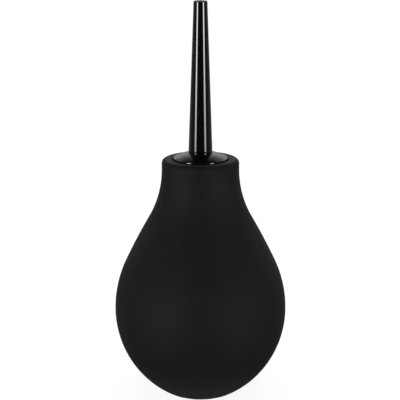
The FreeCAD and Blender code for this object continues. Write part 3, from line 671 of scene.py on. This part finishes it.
class DUSTBLOWER_OT_bulb(bpy.types.Operator):
    """Model the hollow rubber bulb with its foot, neck and cavity"""
    bl_idname = "dustblower.bulb"
    bl_label = "Rubber Bulb"

    def execute(self, context):
        s = context.scene.dustblower_bulb
        low_x = s.belly_radius - s.low_arc
        high_x = s.belly_radius - s.high_arc
        reach = s.low_arc - s.base_arc
        across = s.foot_radius - low_x
        belly = s.base_arc + math.sqrt(reach ** 2 - across ** 2)
        step = s.shoulder_arc - s.high_arc
        shoulder_x = high_x - step * math.cos(s.high_angle)
        shoulder_z = belly - step * math.sin(s.high_angle)
        neck_x = s.neck_radius + s.neck_arc
        span = s.shoulder_arc + s.neck_arc
        neck_z = shoulder_z + math.sqrt(span ** 2 - (neck_x - shoulder_x) ** 2)
        base_turn = math.atan2(s.base_arc - belly, across)
        neck_turn = math.atan2(neck_z - shoulder_z, neck_x - shoulder_x)

        bm = bmesh.new()
        first = start_outline(bm, s.recess_radius, 0.0)
        last = line_to(bm, first, s.foot_radius, 0.0, 4)
        last = arc_to(bm, last, s.foot_radius, s.base_arc, math.pi / 2 + base_turn, 14)
        last = arc_to(bm, last, low_x, belly, -base_turn, 40)
        last = arc_to(bm, last, high_x, belly, s.high_angle, 24)
        last = arc_to(bm, last, shoulder_x, shoulder_z, neck_turn - s.high_angle, 18)
        last = arc_to(bm, last, neck_x, neck_z, -neck_turn, 26)
        last = line_to(bm, last, s.neck_radius, s.rim_height - s.rim_round, 3)
        last = arc_to(bm, last, s.neck_radius - s.rim_round, s.rim_height - s.rim_round,
                      math.pi / 2, 10)
        last = line_to(bm, last, s.rim_recess, s.rim_height, 3)
        last = line_to(bm, last, s.rim_recess, s.rim_height - s.rim_recess_depth, 2)
        last = line_to(bm, last, s.neck_bore, s.rim_height - s.rim_recess_depth, 3)
        last = line_to(bm, last, s.neck_bore, s.neck_bore_end, 6)

        # cavity: the belly's arcs again, set in by the wall
        inner_high = s.high_arc - s.wall
        inner_base = s.base_arc - s.wall
        foot_angle = math.acos((s.boss_foot - s.foot_radius) / inner_base)
        last = line_to(bm, last, high_x + inner_high * math.cos(s.high_angle),
                       belly + inner_high * math.sin(s.high_angle), 12)
        last = arc_to(bm, last, high_x, belly, -s.high_angle, 14)
        last = arc_to(bm, last, low_x, belly, base_turn, 22)
        last = arc_to(bm, last, s.foot_radius, s.base_arc, -foot_angle - base_turn, 8)
        last = line_to(bm, last, s.boss_radius, s.boss_top, 2)
        last = line_to(bm, last, s.base_bore, s.boss_top, 2)
        last = line_to(bm, last, s.base_bore, s.recess_depth, 2)
        last = line_to(bm, last, s.recess_radius, s.recess_depth, 2)
        close_outline(bm, last, first, 2)
        turn_outline(bm, ROUND_STEPS)

        soften_edges(bm, 0.15 * MM,
                     lambda edge: edge_height(edge) > s.rim_height - s.rim_recess_depth - 0.1 * MM)
        soften_edges(bm, 0.3 * MM, lambda edge: edge_height(edge) < 0.1 * MM)
        piece = finish_piece(bm, "rubber_bulb", make_rubber(s), None, "bulb")
        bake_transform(piece)
        return {"FINISHED"}


class DUSTBLOWER_OT_collar(bpy.types.Operator):
    """Model the domed collar with its barbed plug and threaded socket"""
    bl_idname = "dustblower.collar"
    bl_label = "Domed Collar"

    def execute(self, context):
        s = context.scene.dustblower_collar
        thread = context.scene.dustblower_nozzle
        bulb = context.scene.dustblower_bulb
        underside = bulb.rim_height - bulb.rim_recess_depth + s.gap
        edge_top = underside + s.flange_edge
        edge_radius_top = s.flange_radius - s.flange_draft
        rise = s.dome_top - edge_top
        chord = edge_radius_top ** 2 - s.dome_top_radius ** 2
        centre = edge_top - (chord - rise ** 2) / (2 * rise)
        start = math.atan2(edge_top - centre, edge_radius_top)
        end = math.atan2(s.dome_top - centre, s.dome_top_radius)

        bm = bmesh.new()
        first = start_outline(bm, s.groove_radius, s.plug_end)
        last = line_to(bm, first, s.plug_radius - s.plug_lead, s.plug_end, 2)
        last = line_to(bm, last, s.plug_radius, s.plug_end + s.plug_lead, 2)
        for index in range(3):
            low = s.first_barb + index * s.barb_pitch
            last = line_to(bm, last, s.plug_radius, low)
            last = line_to(bm, last, s.barb_radius, low + s.barb_length - s.barb_edge, 2)
            last = line_to(bm, last, s.barb_radius, low + s.barb_length)
            last = line_to(bm, last, s.plug_radius, low + s.barb_length)
        last = line_to(bm, last, s.plug_radius, underside)
        last = line_to(bm, last, s.flange_radius, underside, 2)
        last = line_to(bm, last, edge_radius_top, edge_top)
        last = arc_to(bm, last, 0.0, centre, end - start, 20)
        last = line_to(bm, last, s.pocket_radius, s.dome_top)
        last = line_to(bm, last, s.pocket_radius, s.dome_top - s.pocket_depth, 2)
        last = line_to(bm, last, s.groove_radius, s.dome_top - s.pocket_depth)
        close_outline(bm, last, first, 8)
        turn_outline(bm, ROUND_STEPS)
        soften_edges(bm, s.flange_round, lambda edge: edge_radius(edge) > s.flange_radius - 0.1 * MM
                     and edge_height(edge) > underside + 0.5 * s.flange_edge, 8)
        soften_edges(bm, 0.06 * MM, lambda edge: edge_radius(edge) < s.dome_top_radius
                     and edge_height(edge) > s.dome_top - 0.3 * MM, 2)

        # inner thread: the ridge between the turns of the shank's thread
        middle = thread.thread_start - 0.5 * thread.thread_pitch
        wind_thread(bm, [
            (s.groove_radius + s.ridge_bite, middle - s.ridge_root),
            (s.socket_radius, middle - s.ridge_crest),
            (s.socket_radius, middle + s.ridge_crest),
            (s.groove_radius + s.ridge_bite, middle + s.ridge_root),
        ], thread.thread_pitch, s.dome_top - s.pocket_depth - middle - s.ridge_gap, 64)
        finish_piece(bm, "domed_collar", make_gloss_plastic("collar_plastic", s, 180.0),
                     "collar_body", "collar")
        return {"FINISHED"}


class DUSTBLOWER_OT_nozzle(bpy.types.Operator):
    """Model the tapered nozzle with its air hole and threaded shank"""
    bl_idname = "dustblower.nozzle"
    bl_label = "Tapered Nozzle"

    def execute(self, context):
        s = context.scene.dustblower_nozzle
        shoulder = context.scene.dustblower_collar.dome_top + s.seat_gap
        taper = math.atan2(s.root_radius - s.tip_radius, s.tip_top - shoulder)
        centre_z = s.tip_top - s.tip_round
        edge_x = s.tip_radius + (s.tip_top - centre_z) * math.tan(taper)
        centre_x = edge_x - s.tip_round / math.cos(taper)
        touch_x = centre_x + s.tip_round * math.cos(taper)
        touch_z = centre_z + s.tip_round * math.sin(taper)

        bm = bmesh.new()
        first = start_outline(bm, s.shank_bore, s.shank_end)
        last = line_to(bm, first, s.thread_root - s.shank_lead, s.shank_end)
        last = line_to(bm, last, s.thread_root, s.shank_end + s.shank_lead)
        last = line_to(bm, last, s.thread_root, shoulder, 4)
        last = line_to(bm, last, s.root_radius, shoulder, 2)
        last = line_to(bm, last, touch_x, touch_z, 48)
        last = arc_to(bm, last, centre_x, centre_z, math.pi / 2 - taper, 6)
        last = line_to(bm, last, s.tip_bore, s.tip_top, 2)
        last = line_to(bm, last, s.tip_bore, s.tip_top - s.tip_bore_length, 6)
        close_outline(bm, last, first, 12)
        turn_outline(bm, ROUND_STEPS)
        soften_edges(bm, 0.12 * MM, lambda edge: edge_height(edge) > s.tip_top - 0.1 * MM, 3)
        soften_edges(bm, 0.05 * MM, lambda edge: abs(edge_height(edge) - shoulder) < 0.02 * MM
                     and edge_radius(edge) > s.thread_crest, 2)
        soften_edges(bm, 0.1 * MM, lambda edge: edge_height(edge) < s.shank_end + 0.1 * MM, 2)
        wind_thread(bm, [
            (s.thread_root - s.thread_bite, s.thread_start - s.thread_foot),
            (s.thread_crest, s.thread_start - s.thread_top),
            (s.thread_crest, s.thread_start + s.thread_top),
            (s.thread_root - s.thread_bite, s.thread_start + s.thread_foot),
        ], s.thread_pitch, s.thread_length, 64)
        finish_piece(bm, "tapered_nozzle", make_gloss_plastic("nozzle_plastic", s, 140.0),
                     "nozzle_body", "nozzle")
        return {"FINISHED"}


class DUSTBLOWER_OT_seal(bpy.types.Operator):
    """Model the seal ring under the nozzle's shoulder"""
    bl_idname = "dustblower.seal"
    bl_label = "Seal Ring"

    def execute(self, context):
        s = context.scene.dustblower_nozzle
        collar = context.scene.dustblower_collar
        height = collar.dome_top - collar.pocket_depth + s.seat_gap + s.seal_section
        bm = bmesh.new()
        bmesh.ops.create_circle(bm, cap_ends=False, segments=24, radius=s.seal_section,
                                matrix=Matrix.Translation((s.seal_radius, 0.0, height))
                                @ Matrix.Rotation(math.pi / 2, 4, "X"))
        turn_outline(bm, SMALL_ROUND_STEPS)
        finish_piece(bm, "seal_ring", make_seal_rubber(), "seal_body", "nozzle_o_ring")
        return {"FINISHED"}


class DUSTBLOWER_OT_valve(bpy.types.Operator):
    """Model the intake valve's housing and finish its disc, spring and keeper"""
    bl_idname = "dustblower.valve"
    bl_label = "Intake Valve"

    def execute(self, context):
        s = context.scene.dustblower_valve
        bulb = context.scene.dustblower_bulb
        plastic = make_satin_plastic(s)
        bm = bmesh.new()
        first = start_outline(bm, s.pocket_radius, s.flange_bottom)
        last = first
        for x, z in (
                (s.flange_radius, s.flange_bottom),
                (s.flange_radius, bulb.recess_depth),
                (s.barrel_radius, bulb.recess_depth),
                (s.barrel_radius, bulb.boss_top),
                (s.bead_radius, bulb.boss_top),
                (s.bead_radius, bulb.boss_top + 0.3 * MM),
                (s.barrel_radius, s.bead_top),
                (s.barrel_radius, s.barrel_top),
                (s.chamber_radius, s.barrel_top),
                (s.chamber_radius, s.valve_floor),
                (s.lip_radius, s.valve_floor),
                (s.lip_radius - 0.2 * MM, s.seat_height),
                (s.intake_radius, s.seat_height),
                (s.intake_radius, s.pocket_top),
                (s.pocket_radius, s.pocket_top)):
            last = line_to(bm, last, x, z)
        close_outline(bm, last, first)
        turn_outline(bm, SMALL_ROUND_STEPS)
        soften_edges(bm, 0.3 * MM, lambda edge: edge_radius(edge) > s.flange_radius - 0.1 * MM
                     and edge_height(edge) < s.flange_bottom + 0.1 * MM, 4)
        soften_edges(bm, 0.12 * MM, lambda edge: edge_radius(edge) < s.flange_radius - 0.5 * MM
                     and edge_height(edge) < s.flange_bottom + 0.1 * MM, 2)
        finish_piece(bm, "valve_housing", plastic, "root", "valve_body")
        refinished_node("valve_cage", plastic)
        refinished_node("valve_disc", make_silicone(s))
        refinished_node("valve_spring", make_steel("spring_wire", s, 0.22, 0.34))
        return {"FINISHED"}


class DUSTBLOWER_OT_screen(bpy.types.Operator):
    """Model the ring of the intake screen and finish the perforated screen"""
    bl_idname = "dustblower.screen"
    bl_label = "Intake Screen"

    def execute(self, context):
        s = context.scene.dustblower_valve
        top = s.pocket_top - s.screen_thick
        bottom = top - s.ring_thick
        bm = bmesh.new()
        first = start_outline(bm, s.ring_inner, bottom)
        last = line_to(bm, first, s.pocket_radius, bottom)
        last = line_to(bm, last, s.pocket_radius, top)
        last = line_to(bm, last, s.ring_inner, top)
        close_outline(bm, last, first)
        turn_outline(bm, SMALL_ROUND_STEPS)
        soften_edges(bm, 0.1 * MM, None, 3)
        finish_piece(bm, "screen_snap_ring", bpy.data.materials["valve_plastic"], "root",
                     "screen_ring")
        refinished_node("intake_screen", make_steel("screen_steel", s, 0.26, 0.42))
        return {"FINISHED"}


class DUSTBLOWER_OT_stage(bpy.types.Operator):
    """Lay the pale floor, set the soft studio light and place the camera"""
    bl_idname = "dustblower.stage"
    bl_label = "Studio"

    def execute(self, context):
        s = context.scene.dustblower_stage
        make_floor(s)
        make_world()
        make_light()
        make_camera(context.scene, s)
        context.scene.view_settings.view_transform = "Standard"
        return {"FINISHED"}


def make_floor(s):
    bm = bmesh.new()
    bmesh.ops.create_grid(bm, x_segments=8, y_segments=8, size=s.floor_size / 2)
    mesh = bpy.data.meshes.new("pale_floor")
    bm.to_mesh(mesh)
    bm.free()
    floor = bpy.data.objects.new("pale_floor", mesh)
    bpy.context.scene.collection.objects.link(floor)
    material, tree, shader = new_material("pale_floor")
    shader.inputs["Roughness"].default_value = 0.9
    shader.inputs["Specular IOR Level"].default_value = 0.1
    place = add_node(tree, "ShaderNodeTexCoord", (-900, 0)).outputs["Object"]
    noise = add_noise(tree, place, 6.0, 3.0, 0.5, (-650, 0))
    dimmer = tuple(0.99 * part for part in s.pale)
    shade = add_colour_mix(tree, noise, rgba(s.pale), rgba(dimmer), (-300, 0))
    link(tree, shade, shader.inputs["Base Color"])
    # the overexposed white of a lit studio sweep
    glow = add_node(tree, "ShaderNodeEmission", (300, -300))
    glow.inputs["Color"].default_value = (1.0, 1.0, 1.0, 1.0)
    glow.inputs["Strength"].default_value = 0.92
    both = add_node(tree, "ShaderNodeAddShader", (550, 0))
    link(tree, shader.outputs[0], both.inputs[0])
    link(tree, glow.outputs[0], both.inputs[1])
    link(tree, both.outputs[0], tree.nodes["Material Output"].inputs["Surface"])
    mesh.materials.append(material)
    floor.visible_glossy = False


def make_softbox_group():
    """Brightness of an upright soft box, seen in a direction. It fades towards its lower end."""
    group, ins, outs = new_group(
        "Soft Box",
        [("NodeSocketVector", "Direction", (0.0, 0.0, 0.0)), ("NodeSocketFloat", "Azimuth", 0.8),
         ("NodeSocketFloat", "Half Width", 0.16), ("NodeSocketFloat", "Strength", 10.0)],
        [("NodeSocketFloat", "Brightness")])
    parts = add_node(group, "ShaderNodeSeparateXYZ", (-700, 0))
    link(group, ins["Direction"], parts.inputs[0])
    forward = add_math(group, "MULTIPLY", parts.outputs["Y"], -1.0, (-550, 200))
    azimuth = add_math(group, "ARCTAN2", parts.outputs["X"], forward, (-400, 200))
    offset = add_math(group, "SUBTRACT", azimuth, ins["Azimuth"], (-250, 200))
    away = add_math(group, "ABSOLUTE", offset, location=(-100, 200))
    outer = add_math(group, "ADD", ins["Half Width"], 0.02, (-100, 400))
    side = add_range(group, away, ins["Half Width"], outer, 1.0, 0.0, (50, 200))
    low = add_range(group, parts.outputs["Z"], -0.215, -0.04, location=(-400, -100))
    high = add_range(group, parts.outputs["Z"], 0.1, 0.18, 1.0, 0.0, (-400, -350))
    face = add_math(group, "MULTIPLY", low, high, (-150, -150))
    lit = add_math(group, "MULTIPLY", side, face, (200, 0))
    link(group, add_math(group, "MULTIPLY", lit, ins["Strength"], (400, 0)), outs["Brightness"])
    return group


def make_world():
    """White sweep for the eye, an even fill, and a dark studio with two soft boxes to mirror."""
    world = bpy.data.worlds.new("Studio")
    bpy.context.scene.world = world
    world.use_nodes = True
    world.cycles.sampling_method = "NONE"
    tree = world.node_tree
    tree.nodes.clear()
    path = add_node(tree, "ShaderNodeLightPath", (-900, 400))
    direction = add_node(tree, "ShaderNodeTexCoord", (-1300, 0)).outputs["Generated"]
    parts = add_node(tree, "ShaderNodeSeparateXYZ", (-1100, 0))
    link(tree, direction, parts.inputs[0])
    studio = None
    for axis, *ramp in MIRROR_RAMPS:
        part = add_range(tree, parts.outputs[axis], *ramp, location=(-850, 0))
        studio = add_math(tree, "MULTIPLY", studio, part, (-600, 0)) if studio else part
    axis, *ramp = TABLE_RAMP
    table = add_range(tree, parts.outputs[axis], *ramp, location=(-850, -700))
    studio = add_math(tree, "ADD", studio, table, (-450, -400))
    softbox = make_softbox_group()
    for azimuth, half_width, strength in SOFT_BOXES:
        box = add_node(tree, "ShaderNodeGroup", (-850, -500))
        box.node_tree = softbox
        link(tree, direction, box.inputs["Direction"])
        box.inputs["Azimuth"].default_value = math.radians(azimuth)
        box.inputs["Half Width"].default_value = math.radians(half_width)
        box.inputs["Strength"].default_value = strength
        studio = add_math(tree, "ADD", studio, box.outputs["Brightness"], (-300, 0))
    seen = add_node(tree, "ShaderNodeBackground", (-200, 300))
    seen.inputs["Strength"].default_value = 1.0
    seen.inputs["Color"].default_value = (1.0, 1.0, 1.0, 1.0)
    fill = add_node(tree, "ShaderNodeBackground", (-200, 100))
    fill.inputs["Strength"].default_value = 0.75
    mirrored = add_node(tree, "ShaderNodeBackground", (-200, -100))
    mirrored.inputs["Color"].default_value = (1.0, 1.0, 1.0, 1.0)
    link(tree, studio, mirrored.inputs["Strength"])
    glossy = add_node(tree, "ShaderNodeMixShader", (50, 0))
    link(tree, path.outputs["Is Glossy Ray"], glossy.inputs[0])
    link(tree, fill.outputs[0], glossy.inputs[1])
    link(tree, mirrored.outputs[0], glossy.inputs[2])
    final = add_node(tree, "ShaderNodeMixShader", (250, 0))
    link(tree, path.outputs["Is Camera Ray"], final.inputs[0])
    link(tree, glossy.outputs[0], final.inputs[1])
    link(tree, seen.outputs[0], final.inputs[2])
    output = add_node(tree, "ShaderNodeOutputWorld", (450, 0))
    link(tree, final.outputs[0], output.inputs["Surface"])


def make_light():
    """The wide soft light overhead."""
    data = bpy.data.lights.new("overhead", "AREA")
    data.shape = "RECTANGLE"
    data.size = data.size_y = 1.2
    data.energy = 9.0
    light = bpy.data.objects.new("overhead", data)
    light.location = (0.0, 0.1, 1.4)
    aim = Vector((0.0, 0.0, 0.05)) - light.location
    light.rotation_euler = aim.to_track_quat("-Z", "Y").to_euler()
    light.visible_glossy = False
    bpy.context.scene.collection.objects.link(light)


def make_camera(scene, s):
    data = bpy.data.cameras.new("Camera")
    data.lens = s.lens
    data.sensor_width = 36.0
    data.clip_start = 0.01
    camera = bpy.data.objects.new("Camera", data)
    camera.location = (
        -0.0002,
        -s.distance * math.cos(s.pitch),
        s.target_height + s.distance * math.sin(s.pitch))
    camera.rotation_euler = (math.pi / 2 - s.pitch, 0.0, 0.0)
    scene.collection.objects.link(camera)
    scene.camera = camera


# ---------------------------------------------------------------- panel and registration

PIECE_OPERATORS = (
    DUSTBLOWER_OT_bulb,
    DUSTBLOWER_OT_collar,
    DUSTBLOWER_OT_nozzle,
    DUSTBLOWER_OT_seal,
    DUSTBLOWER_OT_valve,
    DUSTBLOWER_OT_screen,
    DUSTBLOWER_OT_stage,
)

SETTINGS = (
    ("dustblower_bulb", DUSTBLOWER_PG_bulb),
    ("dustblower_collar", DUSTBLOWER_PG_collar),
    ("dustblower_nozzle", DUSTBLOWER_PG_nozzle),
    ("dustblower_valve", DUSTBLOWER_PG_valve),
    ("dustblower_stage", DUSTBLOWER_PG_stage),
)


class DUSTBLOWER_PT_panel(bpy.types.Panel):
    """Panel that lists the blower's pieces"""
    bl_idname = "DUSTBLOWER_PT_panel"
    bl_label = "Dust Blower"
    bl_space_type = "VIEW_3D"
    bl_region_type = "UI"
    bl_category = "Dust Blower"

    def draw(self, context):
        column = self.layout.column(align=True)
        for operator in PIECE_OPERATORS:
            column.operator(operator.bl_idname)
        for name, group in SETTINGS:
            box = self.layout.box()
            box.label(text=group.__doc__)
            for prop in group.__annotations__:
                box.prop(getattr(context.scene, name), prop)


def register():
    for name, group in SETTINGS:
        bpy.utils.register_class(group)
        setattr(bpy.types.Scene, name, bpy.props.PointerProperty(type=group))
    for cls in PIECE_OPERATORS + (DUSTBLOWER_PT_panel,):
        bpy.utils.register_class(cls)


def unregister():
    for cls in reversed(PIECE_OPERATORS + (DUSTBLOWER_PT_panel,)):
        bpy.utils.unregister_class(cls)
    for name, group in reversed(SETTINGS):
        delattr(bpy.types.Scene, name)
        bpy.utils.unregister_class(group)


def main():
    register()
    bpy.ops.dustblower.bulb()
    bpy.ops.dustblower.collar()
    bpy.ops.dustblower.nozzle()
    bpy.ops.dustblower.seal()
    bpy.ops.dustblower.valve()
    bpy.ops.dustblower.screen()
    bpy.ops.dustblower.stage()


if __name__ == "__main__":
    main()
